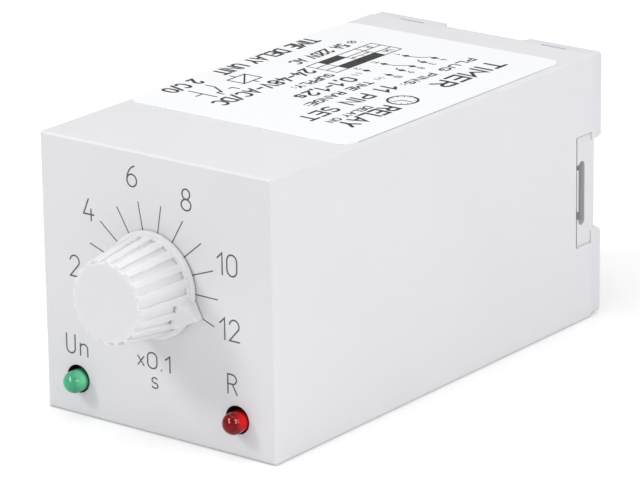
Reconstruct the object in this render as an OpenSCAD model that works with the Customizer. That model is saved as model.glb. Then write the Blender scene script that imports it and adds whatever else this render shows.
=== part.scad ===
// Plug-in time relay, 38 mm square front, 11-pin round plug.
// Frame: origin at the centre of the plug's pin circle on the rear seating plane,
// +Y out of the rear (the way the pins point), +Z up, +X to the right seen from the front.
// Millimetres.

/* [View] */
// Which sub-part to draw

/* [Housing] */
// Outside width
body_w = 38.2; // [38:0.1:40]
// Outside height
body_h = 38; // [37.8:0.1:40]
// Front face to rear seating plane
body_d = 73.5; // [73:0.5:80]
// Wall thickness
wall = 1.4; // [1.2:0.1:1.4]
// Front wall thickness
front_wall = 1.8; // [1.5:0.1:2]
// Edge radius
edge_r = 0.45; // [0.3:0.05:0.8]
// How far the side tabs lie below the housing's sides
tab_recess = 0.35; // [0.2:0.05:0.5]

/* [Rear plug] */
// Height of the rear rim
rim_h = 2.3; // [2:0.1:2.4]
// Rim inset from the housing sides
rim_inset = 0.15; // [0.1:0.05:0.3]
// Rim corner radius, top
rim_top_r = 0.5; // [0.4:0.1:1.5]
// Rim corner radius, bottom
rim_bottom_r = 0.8; // [0.6:0.1:2.6]
// Pin circle diameter
pin_circle_dia = 19.05; // [18:0.05:20]
// Pin count
pins = 11; // [11:1:11]
// Pin diameter
pin_dia = 2.36; // [2.2:0.02:2.4]
// Pin length beyond the seating plane
pin_len = 11.1; // [9:0.1:12]
// Key post diameter
post_dia = 7.8; // [7:0.1:8]
// Key post length
post_len = 12.6; // [11:0.1:14]

/* [Dial] */
// Dial centre, sideways
dial_x = -0.5; // [-0.8:0.1:0]
// Dial centre, up
dial_z = 1.65; // [1:0.05:2]
// Knob skirt radius
knob_r = 7.2; // [7.1:0.05:7.6]
// Knob body radius at the skirt
knob_body_r = 6.75; // [6.7:0.05:6.9]
// Knob front radius
knob_tip_r = 5.75; // [5.6:0.05:6]
// How far the knob stands out of the panel
knob_out = 9.3; // [9:0.1:10]
// Number of grip grooves
knob_grooves = 20; // [16:1:24]
// Angle the pointer shows at rest, clockwise from up
rest_angle = 110.6; // [100:0.1:115]

/* [Lamps] */
// Green lamp, sideways
green_x = -13.72; // [-14:0.01:-13.5]
// Red lamp, sideways
red_x = 12.93; // [12.5:0.01:13.2]
// Lamps, up
lamp_z = -13.97; // [-14.05:0.01:-13.7]
// Lamp hole diameter
lamp_hole = 3.76; // [3.76:0.02:4]
// Lamps off centre in their holes, sideways
lamp_dx = 0.27; // [0:0.01:0.28]
// Lamps off centre in their holes, up
lamp_dz = -0.07; // [-0.1:0.01:0]

/* [Hidden] */
sides = [-1, 1];

// Colours used by more than one node
board_green = [0.16, 0.42, 0.25];
lead_tin = [0.80, 0.80, 0.78];
pin_tin = [0.82, 0.82, 0.80];
blade_brass = [0.82, 0.62, 0.30];
chip_black = [0.09, 0.09, 0.10];

// Housing
half_w = body_w / 2;
half_h = body_h / 2;
in_w = half_w - wall;              // inside half width
in_h = half_h - wall;              // inside half height
face_y = -body_d;                  // front face
inner_y = face_y + front_wall;     // inside of the front wall

// Main board, flat near the bottom
board_top = -15.8;
board_bottom = -16.8;
board_rear = -9.1;
lead_below = 1.5;                  // leads reach this far below the board's top
lead_tip = board_top - lead_below;

// Control board, upright behind the dial
control_front = face_y + 10.8;
control_rear = control_front + 1.2;

/* ---- helpers: x, y and z ranges are [from, to] ---- */
function sym(half) = [-half, half];
function around(centre, half) = [centre - half, centre + half];
function span(side, near, far) = side > 0 ? [near, far] : [-far, -near];
function pair_x(at, half) = [for (s = sides) at + [s * half, 0]];
function pair_y(at, half) = [for (s = sides) at + [0, s * half]];

module box(x, y, z) translate([x[0], y[0], z[0]]) cube([x[1] - x[0], y[1] - y[0], z[1] - z[0]]);
module rod_x(r, x, fn = 24)
  translate([x[0], 0, 0]) rotate([0, 90, 0]) cylinder(r = r, h = x[1] - x[0], $fn = fn);
module rod_y(r, y, fn = 48)
  translate([0, y[0], 0]) rotate([-90, 0, 0]) cylinder(r = r, h = y[1] - y[0], $fn = fn);
module cone_y(r_from, r_to, y, fn)
  translate([0, y[0], 0]) rotate([-90, 0, 0])
    cylinder(r1 = r_from, r2 = r_to, h = y[1] - y[0], $fn = fn);
module rod_z(r, z, fn = 32) translate([0, 0, z[0]]) cylinder(r = r, h = z[1] - z[0], $fn = fn);

// 2D outline in x, z, extruded along y
module prism_y(y)
  translate([0, y[1], 0]) rotate([90, 0, 0]) linear_extrude(y[1] - y[0]) children();

module rounded_rect(w, h, r) {
  square([w - 2 * r, h], center = true);
  square([w, h - 2 * r], center = true);
  for (sx = sides, sy = sides)
    translate([sx * (w / 2 - r), sy * (h / 2 - r)]) circle(r = r, $fn = 32);
}

// 2D ring
module ring(inner_r, outer_r) difference() {
  circle(r = outer_r, $fn = 64);
  circle(r = inner_r, $fn = 64);
}

// 2D ring sector about the upward axis
module ring_sector(inner_r, outer_r, half_angle) intersection() {
  ring(inner_r, outer_r);
  polygon([[0, 0], [-12 * tan(half_angle), 12], [12 * tan(half_angle), 12]]);
}

module at_dial() translate([dial_x, 0, dial_z]) children();
module at_rest() at_dial() rotate([0, rest_angle, 0]) children();
// Moves to a place on the main board, with z = 0 on the board's top
module on_board(at) translate([at[0], at[1], board_top]) children();

/* ---- housing ---- */
latch_x = 11.9;            // latches of the base, off centre

module housing() color([0.89, 0.89, 0.90]) {
  shell();
  rails();
}

// Guides above and below the main board's edges
module rails() {
  above = [board_top + 0.08, board_top + 0.8];
  below = [-in_h - 0.1, board_bottom - 0.08];
  for (s = sides, z = [above, below])
    box(span(s, in_w - 1, in_w + 0.1), [inner_y - 0.1, board_rear - 0.4], z);
}

// 2D block from the front face to the rim, with rounded front corners
module front_rounded(width) {
  depth = body_d - rim_h;
  translate([-width / 2 + edge_r, face_y]) square([width - 2 * edge_r, depth]);
  translate([-width / 2, face_y + edge_r]) square([width, depth - edge_r]);
  for (s = sides) translate([s * (width / 2 - edge_r), face_y + edge_r])
    circle(r = edge_r, $fn = 32);
}

module shell() difference() {
  intersection() {
    prism_y([face_y, -rim_h]) rounded_rect(body_w, body_h, edge_r);
    translate([0, 0, -half_h]) linear_extrude(body_h) front_rounded(body_w);
    translate([half_w, 0, 0]) rotate([0, -90, 0]) linear_extrude(body_w) front_rounded(body_h);
  }
  box(sym(in_w), [inner_y, 1], sym(in_h));
  // holes for the dial and the lamps
  at_dial() rod_y(3.6, [face_y - 1, inner_y + 1]);
  for (x = [green_x, red_x])
    translate([x, 0, lamp_z]) rod_y(lamp_hole / 2, [face_y - 1, inner_y + 1], 40);
  // windows for the base's side tabs
  for (s = sides) box(span(s, in_w - 0.1, half_w + 1), [-6.2, 1], sym(8));
  // catches for the base's latches
  for (sx = sides, sz = sides)
    box(around(sx * latch_x, 2.2), [-8.3, -6.4], span(sz, in_h - 0.1, in_h + 0.55));
}

// Sheet on the top of the housing
module label() color([0.97, 0.97, 0.97])
  translate([-0.5, -32.1, half_h]) linear_extrude(0.1) rounded_rect(36.8, 48.6, 2.2);

/* ---- rear base with the plug ---- */
pin_r = pin_dia / 2;
post_r = post_dia / 2;
rim_across = body_w - 2 * rim_inset;
rim_tall = body_h - 2 * rim_inset;
rim_wall = 1.6;
tab_x = half_w - tab_recess;   // outer face of the side tabs
// Latch hook: y, height beyond the housing's inside wall
hook_profile = [[-8.6, -0.4], [-8.15, -0.4], [-8.15, -0.36], [-6.6, 0.4], [-6.6, -0.5],
                [-8.6, -0.5]];

module at_pins() for (i = [0:pins - 1])
  rotate([0, (i + 0.5) * 360 / pins, 0]) translate([0, 0, -pin_circle_dia / 2]) children();
module at_standoffs() for (sx = sides, sz = sides)
  translate([sx * 13.6, 0, sz * 12.8]) children();

// Rim outline with its own corner radii at the top and the bottom
module rim_outline(w, h, top_r, bottom_r) {
  square([w - 2 * bottom_r, h], center = true);
  translate([-w / 2, -h / 2 + bottom_r]) square([w, h - bottom_r - top_r]);
  translate([-w / 2 + top_r, 0]) square([w - 2 * top_r, h / 2]);
  for (s = sides) {
    translate([s * (w / 2 - top_r), h / 2 - top_r]) circle(r = top_r, $fn = 32);
    translate([s * (w / 2 - bottom_r), -h / 2 + bottom_r]) circle(r = bottom_r, $fn = 32);
  }
}

// Notches in the rim at the top and the bottom, outline in x, y
module end_rim_cuts() for (turn = [0, 180])
  rotate([0, turn, 0]) translate([0, 0, -21]) linear_extrude(8)
    polygon([[-6.6, -1.4], [6.6, -1.4], [7.25, 0.1], [7.25, 0.5], [-7.25, 0.5], [-7.25, 0.1]]);

// Notch in the rim at the side, with ramps at its ends and a floor that leans back
module side_rim_cut(s) {
  // outline in z, y
  translate([s * 18, 0, 0]) rotate([0, -90, 0]) linear_extrude(6, center = true)
    polygon([[-5.8, -1.1], [6.7, -1.1], [7.2, 0.1], [7.2, 0.5], [-6.8, 0.5], [-6.8, 0.1]]);
  // outline in x, z
  prism_y([-3, 1]) polygon([[s * tab_x, -6.1], [s * tab_x, 6.75],
                            [s * (tab_x + 1), 7.55], [s * (tab_x + 1), -7.7]]);
  // outline in x, y
  translate([0, 0, -6.1]) linear_extrude(12.85)
    polygon([[s * tab_x, -2.1], [s * 20, -2.1], [s * 20, 1], [s * (tab_x - 0.62), 1]]);
}

module rim() difference() {
  prism_y([-rim_h + 0.05, 0]) rim_outline(rim_across, rim_tall, rim_top_r, rim_bottom_r);
  prism_y([-1.8, 1]) rounded_rect(rim_across - 2 * rim_wall, rim_tall - 2 * rim_wall, 1.2);
  end_rim_cuts();
  for (s = sides) side_rim_cut(s);
  // slits for releasing the latches
  for (sx = sides, sz = sides)
    box(around(sx * 12.15, 2.1), [-rim_h, -rim_h + 0.85],
        span(sz, half_h - rim_inset - 1.3, half_h));
}

// Fills the window in the housing's side
module side_tab(s) {
  slot_r = 0.72;
  slot_z = [-4.27, 3.53];
  difference() {
    box(span(s, 17.2, tab_x), [-5.45, -2.1], [-7.97, 7.74]);
    translate([s * 18, -4.38, 0]) {
      box(sym(2), sym(slot_r), slot_z);
      for (z = slot_z) translate([0, 0, z]) rod_x(slot_r, sym(2), 32);
      // notches, cut from outside only, so the strip beside the slot stays joined
      for (z = [[3.1, 3.8], [-4.1, -2.9]]) box(span(s, -0.1, 2), [-3, -0.2], z);
    }
  }
}

module key_post() {
  bevel = 0.8;
  rod_y(post_r, [-1, post_len - bevel], 64);
  cone_y(post_r, post_r - bevel, [post_len - bevel - 0.01, post_len], 64);
  box(sym(1), [-1, post_len - bevel], [-post_r - 1.05, -post_r + 1]);   // key
}

module latch(sx, sz) {
  box(around(sx * latch_x, 2), [-8.6, -3.4], span(sz, in_h - 1.5, in_h - 0.35));
  translate([sx * latch_x - 2, 0, 0]) rotate([90, 0, 90]) linear_extrude(4)
    polygon([for (p = hook_profile) [p[0], sz * (in_h + p[1])]]);
}

module base() color([0.85, 0.86, 0.88]) difference() {
  union() {
    rim();
    prism_y([-3.5, -rim_h + 0.06]) rounded_rect(2 * in_w - 0.2, 2 * in_h - 0.2, 0.8);
    for (s = sides) side_tab(s);
    rod_y(12.9, [-3, 0], 96);
    key_post();
    // posts with pegs for the base board
    at_standoffs() {
      rod_y(1.7, [-6.7, -3], 32);
      rod_y(0.85, [-8.3, -6.5], 24);
    }
    for (sx = sides, sz = sides) latch(sx, sz);
  }
  at_pins() rod_y(pin_r + 0.19, [-5, 1], 32);
  rod_y(post_r - 1.3, [-5, post_len - 1.6]);   // hollow of the key post
}

module plug_pins() color([0.85, 0.85, 0.82]) at_pins() {
  rod_y(pin_r, [0.1, pin_len - 0.5], 32);
  rod_y(pin_r + 0.17, [-3.6, 0.15], 32);
  cone_y(pin_r, pin_r - 0.5, [pin_len - 0.51, pin_len], 32);
  rod_y(1.6, [-4.2, -3.52], 32);
  rod_y(0.6, [-9.0, -4.1], 16);
}

// Cones of solder on the front of the base board
module pin_solder() color([0.78, 0.79, 0.80]) at_pins() difference() {
  cone_y(0.7, 1.35, [-8.85, -8.0], 24);
  rod_y(0.61, [-10, -7], 16);
}

/* ---- places on the main board: x, y ---- */
lamp_x = [green_x + lamp_dx, red_x + lamp_dx];
lamp_up = lamp_z + lamp_dz;
lamp_lead_y = face_y + 6.6;
lamp_lead_x = [for (x = lamp_x, s = sides) x + s * 1.27];
board_link_x = [for (i = [0:7]) 2.8 * (i - 3.5)];
board_link_y = -10.4;
board_link_z = -14.2;
control_link_x = [-4, -1.4, 1.2, 3.8];
control_link_y = control_rear + 1.6;
control_link_z = -13.6;

relay_at = [-8.5, -23];
capacitor_at = [9.5, -19];
timing_at = [9.5, -31];
varistor_at = [9.5, -37.5];
bridge_at = [-8.5, -40.3];
timer_at = [-5.9, -48.6];
trimmer_at = [11.3, -48.9];
diode_at = [[1.2, -28], [1.2, -16.5]];
transistor_at = [[3.5, -42.5], [14, -42.5]];
resistor_at = [[-10.2, -54.1], [10.2, -54.1], [-10.2, -56.75], [10.2, -56.75],
               [-10.2, -59.4], [10.2, -59.4]];

// Leads, off the centre of their part
capacitor_lead = 2.5;
resistor_lead = 5.08;
diode_lead = 4.4;
bridge_row = 3.3;
timer_row = 3.81;
contact_x = 3.1;
nc_y = 5.1;                // normally closed contacts
common_y = 6.52;
no_y = 8.55;               // normally open contacts
coil_pin_x = 3.8;
coil_pin_y = -12.1;

capacitor_leads = pair_y(capacitor_at, capacitor_lead);
timing_leads = pair_x(timing_at, 5);
varistor_leads = pair_x(varistor_at, 2.5);
bridge_leg_x = [for (s = sides) bridge_at[0] + s * 2.5];
timer_leg_x = [for (i = [0:6]) timer_at[0] + 2.54 * (i - 3)];
transistor_leads = [for (at = transistor_at, s = [-1, 0, 1]) at + [s * 1.27, 0]];
trimmer_leads = [for (p = [[-2.5, -2.4], [0, 2.6], [2.5, -2.4]]) trimmer_at + p];

// Every lead that goes through the main board
board_holes = concat(
  [for (x = board_link_x) [x, board_link_y]],
  [for (x = control_link_x) [x, control_link_y]],
  [for (x = lamp_lead_x) [x, lamp_lead_y]],
  [for (s = sides, y = [nc_y, common_y, no_y]) relay_at + [s * contact_x, y]],
  [for (s = sides) relay_at + [s * coil_pin_x, coil_pin_y]],
  capacitor_leads, timing_leads, varistor_leads, transistor_leads, trimmer_leads,
  [for (at = resistor_at, s = sides) at + [s * resistor_lead, 0]],
  [for (at = diode_at, s = sides) at + [0, s * diode_lead]],
  [for (x = bridge_leg_x, s = sides) [x, bridge_at[1] + s * bridge_row]],
  [for (x = timer_leg_x, s = sides) [x, timer_at[1] + s * timer_row]]);

/* ---- boards ---- */
module base_board() color(board_green) difference() {
  through = [-9, -6];
  box(sym(15.9), [-8.0, -6.8], [-15.2, 15.6]);
  at_pins() rod_y(0.75, through, 16);
  at_standoffs() rod_y(0.95, through, 24);
  for (x = board_link_x) translate([x, 0, board_link_z]) rod_y(0.5, through, 16);
}

// Bent square wires from the base board down to the main board
module board_link() color(lead_tin) for (x = board_link_x) translate([x, 0, 0]) {
  box(sym(0.3), [board_link_y - 0.3, -6.2], around(board_link_z, 0.3));
  box(sym(0.3), around(board_link_y, 0.3), [lead_tip, -14.0]);
}

module main_board() color(board_green) difference() {
  box(sym(in_w - 0.4), [face_y + 3.7, board_rear], [board_bottom, board_top]);
  for (at = board_holes)
    translate(at) rod_z(0.48, [board_bottom - 1, board_top + 1], 16);
}

module control_board() color(board_green) difference() {
  through = [control_front - 1, control_rear + 1];
  box([-12.5, 11.5], [control_front, control_rear], [board_top + 0.3, 12.2]);
  at_pot_pins() rod_y(0.6, through, 16);
  for (x = control_link_x) translate([x, 0, control_link_z]) rod_y(0.5, through, 16);
}

// Bent square wires from the control board down to the main board
module control_link() color(lead_tin) for (x = control_link_x) translate([x, 0, 0]) {
  box(sym(0.3), [control_front - 0.7, control_link_y + 0.3], around(control_link_z, 0.3));
  box(sym(0.3), around(control_link_y, 0.3), [lead_tip, -13.4]);
}

/* ---- setting potentiometer, in front of the control board ---- */
pot_front = control_front - 5.8;         // front of the shell
rotor_y = [pot_front + 1.05, pot_front + 2.1];
wiper_y = [pot_front + 2.1, pot_front + 2.35];
track_y = control_front - 2.3;           // front of the track's disc
cover_y = control_front - 1.5;           // front of the cover
flange_y = control_front - 0.9;          // front of the cover's flange

module at_pot_pins() at_dial() for (p = [[-5, -4], [0, -6], [5, -4]])
  translate([p[0], 0, p[1]]) children();

module pot_body() color([0.18, 0.19, 0.21]) {
  pot_shell();
  pot_stop();
}
module pot_shell() at_dial() difference() {
  union() {
    rod_y(8.0, [pot_front, flange_y], 64);
    rod_y(3.4, [face_y + 0.5, pot_front + 0.1]);
  }
  rod_y(7.2, [pot_front + 1.0, control_front], 64);
  rod_y(3.06, [face_y, control_front - 1]);
}
// Stop block at the bottom of the shell
module pot_stop() at_dial() rotate([0, 180, 0])
  prism_y([pot_front + 0.95, pot_front + 2.1]) ring_sector(5.3, 7.21, 25);

module pot_track() color([0.36, 0.22, 0.12]) at_dial() {
  difference() {
    rod_y(7.15, [track_y, cover_y], 64);
    rod_y(1.0, [control_front - 3, control_front], 24);
  }
  // raised track, open at the bottom
  difference() {
    prism_y([track_y - 0.06, track_y + 0.01]) ring(4.6, 6.4);
    rotate([0, 180, 0]) prism_y([control_front - 3, track_y]) ring_sector(0, 9, 28);
  }
}

module pot_cover() color([0.75, 0.76, 0.78]) difference() {
  at_dial() {
    rod_y(7.15, [cover_y, flange_y], 64);
    rod_y(7.95, [flange_y, control_front - 0.02], 64);
  }
  at_pot_pins() rod_y(0.6, [control_front - 2, control_front + 1], 16);
}

module pot_terminals() color(pin_tin)
  at_pot_pins() rod_y(0.4, [cover_y, control_rear + 0.9], 16);

// D shaft, disc and the lug that meets the stop
module pot_rotor() color([0.92, 0.92, 0.90]) at_rest() {
  difference() {
    rod_y(3.0, [face_y - 8.4, pot_front + 1.3]);
    box(sym(4), [face_y - 9, face_y - 1.5], [1.5, 4]);
  }
  rod_y(5.0, rotor_y);
  prism_y(rotor_y) ring_sector(4.8, 6.9, 19.4);
}

module pot_wiper() color([0.83, 0.68, 0.35]) at_rest() {
  difference() {
    rod_y(3.6, wiper_y);
    rod_y(1.4, [pot_front + 2, pot_front + 3], 24);
  }
  box(sym(0.9), wiper_y, [3.4, 5.9]);
  for (x = sym(0.5)) translate([x, 0, 5.5]) rod_y(0.3, [pot_front + 2.3, track_y - 0.09], 16);
}

/* ---- knob ---- */
knob_back = face_y - 0.12;
knob_front = face_y - knob_out;
groove_end = face_y - 1.15;    // rear end of the grip grooves
groove_tilt = atan((knob_body_r - knob_tip_r) / (knob_out - 1.4));
// Skirt, cone and front edge: radius, -y
knob_profile = [
  [0, -knob_back], [knob_r - 0.12, -knob_back], [knob_r, -knob_back + 0.12],
  [knob_r, -face_y + 0.65], [knob_r - 0.15, -face_y + 0.85], [knob_body_r, -face_y + 0.9],
  [knob_tip_r, -knob_front - 0.5], [knob_tip_r - 0.13, -knob_front - 0.17],
  [knob_tip_r - 0.5, -knob_front], [0, -knob_front]];

module knob() color([0.88, 0.88, 0.89]) at_rest() {
  difference() {
    rotate([90, 0, 0]) rotate_extrude($fn = 96) polygon(knob_profile);
    for (i = [0:knob_grooves - 1]) rotate([0, (i + 0.5) * 360 / knob_grooves, 0])
      translate([0, groove_end, knob_body_r - 0.5]) rotate([groove_tilt, 0, 0])
        box(sym(0.5), [-9, 0], [0, 2]);
    // hollow back round the hub
    difference() {
      rod_y(5.5, [face_y - 3.2, knob_back + 1], 64);
      rod_y(4.2, [face_y - 4, knob_back + 2]);
    }
    // D bore
    difference() {
      rod_y(3.04, [face_y - 8.5, knob_back + 1]);
      box(sym(4), [face_y - 9, face_y - 1.6], [1.54, 4]);
    }
    // room for the spring clip
    box(sym(1.6), [face_y - 7.0, face_y - 2.0], [1.5, 2.2]);
  }
  knob_pointer();
}

// A beak on the skirt with a sloping top
module knob_pointer() intersection() {
  tip_y = face_y - 3.0;
  prism_y([tip_y, knob_back])
    polygon([[-1.75, 6.1], [1.75, 6.1], [1.62, 7.02], [0, 8.78], [-1.62, 7.02]]);
  // outline in y, z
  rotate([90, 0, 90]) linear_extrude(8, center = true)
    polygon([[knob_back, 6], [knob_back, 9.0], [knob_back - 0.9, 9.0], [tip_y, 6.5], [tip_y, 6]]);
}

// Flat clip with a foot at each end
module knob_spring() color([0.70, 0.71, 0.73]) at_rest() {
  box(sym(1.4), [face_y - 6.9, face_y - 2.1], [1.9, 2.15]);
  for (y = [-6.9, -2.5]) box(sym(1.4), [face_y + y, face_y + y + 0.4], [1.53, 1.95]);
}

/* ---- lamps ---- */
module led(x) translate([x, 0, lamp_up]) {
  translate([0, face_y - 1.1, 0]) sphere(r = 1.5, $fn = 40);
  rod_y(1.5, [face_y - 1.1, inner_y + 0.1], 40);
  // collar with a flat
  difference() {
    rod_y(1.85, [inner_y + 0.05, inner_y + 1.0], 40);
    box([-2, -1.6], [face_y + 1, inner_y + 2], sym(2));
  }
}
module led_green() color([0.30, 0.75, 0.50]) led(lamp_x[0]);
module led_red() color([0.72, 0.06, 0.10]) led(lamp_x[1]);

module led_leads() color(lead_tin) for (x = lamp_lead_x) translate([x, 0, 0]) {
  box(sym(0.25), [inner_y + 1.0, lamp_lead_y + 0.25], around(lamp_up, 0.25));
  box(sym(0.25), around(lamp_lead_y, 0.25), [lead_tip, lamp_up - 0.2]);
}

module led_spacers() color([0.15, 0.15, 0.16]) difference() {
  for (x = lamp_x)
    box(around(x, 2), [face_y + 3.8, face_y + 6.1], [board_top + 0.02, lamp_up + 1.6]);
  for (x = lamp_lead_x)
    box(around(x, 0.32), [face_y + 3, face_y + 7], around(lamp_up, 0.32));
}

/* ---- relay, in its own frame: origin on the board, +Y towards the contacts ---- */
core_y = -4.4;             // axis of the core and the coil
arm_open = 4.5;            // armature opening at rest, degrees
hinge_y = 3.1;
hinge_z = 13.0;
contact_z = 12.0;

module in_relay() on_board(relay_at) children();
module on_core() in_relay() translate([0, core_y, 0]) children();
module at_contacts() in_relay() for (s = sides) translate([s * contact_x, 0, 0]) children();
module contact(y) translate([0, 0, contact_z]) rod_y(1.1, y, 24);
module blade(y, top) {
  box(sym(1.2), around(y, 0.15), [0.6, top]);
  translate([0, y, 0]) rod_z(0.3, [-lead_below, 0.7], 16);
}

module relay_base() color([0.20, 0.20, 0.22]) in_relay() difference() {
  union() {
    box(sym(5.7), [-12.2, 10.4], [0.3, 2.4]);
    box(sym(6.4), [-12.9, 11.1], [0.02, 0.5]);
  }
  for (s = sides, y = [nc_y, common_y, no_y])
    box(around(s * contact_x, 1.25), around(y, 0.35), [-1, 3]);
  for (s = sides) box(around(s * coil_pin_x, 0.4), around(coil_pin_y, 0.4), [-1, 3]);
}

module relay_cover() color([0.16, 0.17, 0.20]) in_relay() difference() {
  box(sym(6.4), [-12.9, 11.1], [0.55, 15.7]);
  box(sym(5.8), [-12.3, 10.5], [0, 15.1]);
}

module relay_yoke() color([0.66, 0.67, 0.70]) in_relay() {
  difference() {
    box(sym(4.5), [-10.2, 3.0], [2.42, 3.6]);
    translate([0, core_y, 0]) rod_z(1.52, [2, 4]);
  }
  box(sym(4.5), [1.8, 3.0], [3.5, 12.95]);
}

module relay_core() color([0.60, 0.61, 0.64]) on_core() {
  rod_z(1.5, [2.45, 3.7]);
  rod_z(2.2, [3.62, 12.3]);
  rod_z(3.2, [12.2, 12.85], 48);
}

module relay_bobbin() color([0.86, 0.84, 0.78]) on_core() difference() {
  union() {
    for (z = [[3.62, 4.5], [11.3, 12.1]]) box(sym(5.3), [-6.0, 5.9], z);
    rod_z(2.9, [4, 12], 48);
    box(sym(5.3), [-7.85, -5.9], [2.5, 4.5]);
  }
  rod_z(2.23, [3, 13], 48);
  for (s = sides) box(around(s * coil_pin_x, 0.4), around(coil_pin_y - core_y, 0.4), [2, 5]);
}

module relay_coil() color([0.72, 0.35, 0.14]) on_core() difference() {
  rod_z(5.2, [4.52, 11.28], 64);
  rod_z(2.92, [4, 12], 48);
}

module relay_coil_pins() color(pin_tin) in_relay() for (s = sides)
  box(around(s * coil_pin_x, 0.25), [-12.25, -11.75], [-lead_below, 5.2]);

module relay_armature() color([0.62, 0.63, 0.66]) in_relay() {
  // tilted plate over the core
  translate([0, hinge_y, hinge_z]) rotate([-arm_open, 0, 0])
    box(sym(4.2), [-9.4 - hinge_y, 0], [0, 0.9]);
  // upright leg, notched for the pusher
  difference() {
    box(sym(4.2), [hinge_y, 4.1], [6.6, 13.86]);
    box(sym(1.25), [2, 5], [6, 8.3]);
  }
}

module relay_pusher() color([0.90, 0.80, 0.35]) in_relay() {
  box(sym(1.2), [3.15, 5.75], [6.8, 8.2]);
  box(sym(4.5), [5.7, 6.35], [6.8, 8.2]);
}

module relay_hinge_clip() color([0.78, 0.66, 0.36]) in_relay()
  for (s = sides) box(span(s, 4.75, 5.2), [1.85, 3.35], [4.5, 12.2]);

module relay_springs() color([0.80, 0.52, 0.34])
  at_contacts() box(sym(1.2), [6.42, 6.62], [2.7, 13.4]);

// Contact buttons on both faces of the springs
module relay_buttons() color([0.86, 0.87, 0.88]) at_contacts() {
  contact([6.02, 6.42]);
  contact([6.62, 7.02]);
}

module relay_common_blades() color(blade_brass) at_contacts() blade(common_y, 2.65);
module relay_nc_blades() color(blade_brass) at_contacts() {
  blade(nc_y, 13.3);
  contact([5.24, 6.0]);
}
module relay_no_blades() color(blade_brass) at_contacts() {
  blade(no_y, 13.3);
  contact([8.02, 8.41]);
}

/* ---- electronics on the main board ---- */
resistor_z = 1.5;          // axis height above the board
diode_z = 1.6;

module filter_capacitor() color([0.12, 0.16, 0.30]) on_board(capacitor_at) {
  rod_z(5, [0.6, 15.9], 64);
  translate([0, 0, 15.89]) cylinder(r1 = 5, r2 = 4.6, h = 0.41, $fn = 64);
  rod_z(4.7, [0.3, 0.7], 48);
}

module capacitor_seal() color([0.10, 0.10, 0.10]) on_board(capacitor_at) difference() {
  rod_z(4.4, [0.02, 0.28], 48);
  for (y = sym(capacitor_lead)) translate([0, y, 0]) rod_z(0.35, [-1, 1], 16);
}

module timing_capacitor() color([0.75, 0.20, 0.12])
  on_board(timing_at) box(sym(6.3), sym(2.4), [0.3, 10.5]);

module bridge_rectifier() color(chip_black)
  on_board(bridge_at) box(sym(4.1), sym(2.2), [0.6, 3.9]);

// Chip body with a round notch at its left end
module timer_ic() color(chip_black) on_board(timer_at) difference() {
  box(sym(9.6), sym(3), [0.6, 3.9]);
  translate([-9.6, 0, 0]) rod_z(1.0, [3.4, 5], 24);
}

// One leg each side of a chip: body is its half depth, row the legs' distance off centre
module leg_pair(at, body, row) on_board(at) for (s = sides) {
  box(sym(0.25), span(s, body + 0.02, row + 0.25), [2.0, 2.3]);
  box(sym(0.25), around(s * row, 0.25), [-lead_below, 2.1]);
}
module chip_legs() color(pin_tin) {
  for (x = timer_leg_x) leg_pair([x, timer_at[1]], 3, timer_row);
  for (x = bridge_leg_x) leg_pair([x, bridge_at[1]], 2.2, bridge_row);
}

// Round bodies with a flat at the rear
module transistors() color([0.10, 0.10, 0.11]) for (at = transistor_at)
  on_board(at) difference() {
    rod_z(2.3, [2.0, 6.6], 40);
    box(sym(3), [1.2, 4], [0, 8]);
  }

module diodes() color([0.13, 0.13, 0.14]) for (at = diode_at)
  on_board(at) translate([0, 0, diode_z]) rod_y(1.35, sym(2.6), 32);

module resistors() color([0.80, 0.68, 0.48]) for (at = resistor_at)
  on_board(at) translate([0, 0, resistor_z]) {
    rod_x(1.0, sym(2.4));
    for (s = sides) rod_x(1.2, span(s, 1.9, 3.1));
  }

module varistor() color([0.15, 0.30, 0.62])
  on_board(varistor_at) translate([0, 0, 5.6]) rod_y(4.2, sym(1.6));

module trimmer_body() color([0.16, 0.30, 0.62]) on_board(trimmer_at) difference() {
  box(sym(4.7), sym(3.9), [0.4, 4.6]);
  rod_z(2.05, [2.2, 6], 40);
}

module trimmer_rotor() color([0.93, 0.92, 0.88]) on_board(trimmer_at) difference() {
  rod_z(2.0, [2.22, 5.2], 40);
  box(sym(3), sym(0.3), [4.5, 6]);
}

// Upright leads, from below the board to a height above it
module leads(places, top, r = 0.3)
  for (at = places) on_board(at) rod_z(r, [-lead_below, top], 16);

module component_leads() color(lead_tin) {
  leads(capacitor_leads, 0.3);
  leads(timing_leads, 0.3);
  leads(varistor_leads, 2.2);
  leads(transistor_leads, 2.0, 0.25);
  leads(trimmer_leads, 0.4);
  // bent leads, with a ball at the bend
  for (at = resistor_at) {
    leads(pair_x(at, resistor_lead), resistor_z);
    on_board(at) translate([0, 0, resistor_z]) for (s = sides) {
      rod_x(0.3, span(s, 3.1, resistor_lead), 16);
      translate([s * resistor_lead, 0, 0]) sphere(r = 0.3, $fn = 16);
    }
  }
  for (at = diode_at) {
    leads(pair_y(at, diode_lead), diode_z);
    on_board(at) translate([0, 0, diode_z]) for (s = sides) {
      rod_y(0.3, span(s, 2.6, diode_lead), 16);
      translate([0, s * diode_lead, 0]) sphere(r = 0.3, $fn = 16);
    }
  }
}

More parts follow.
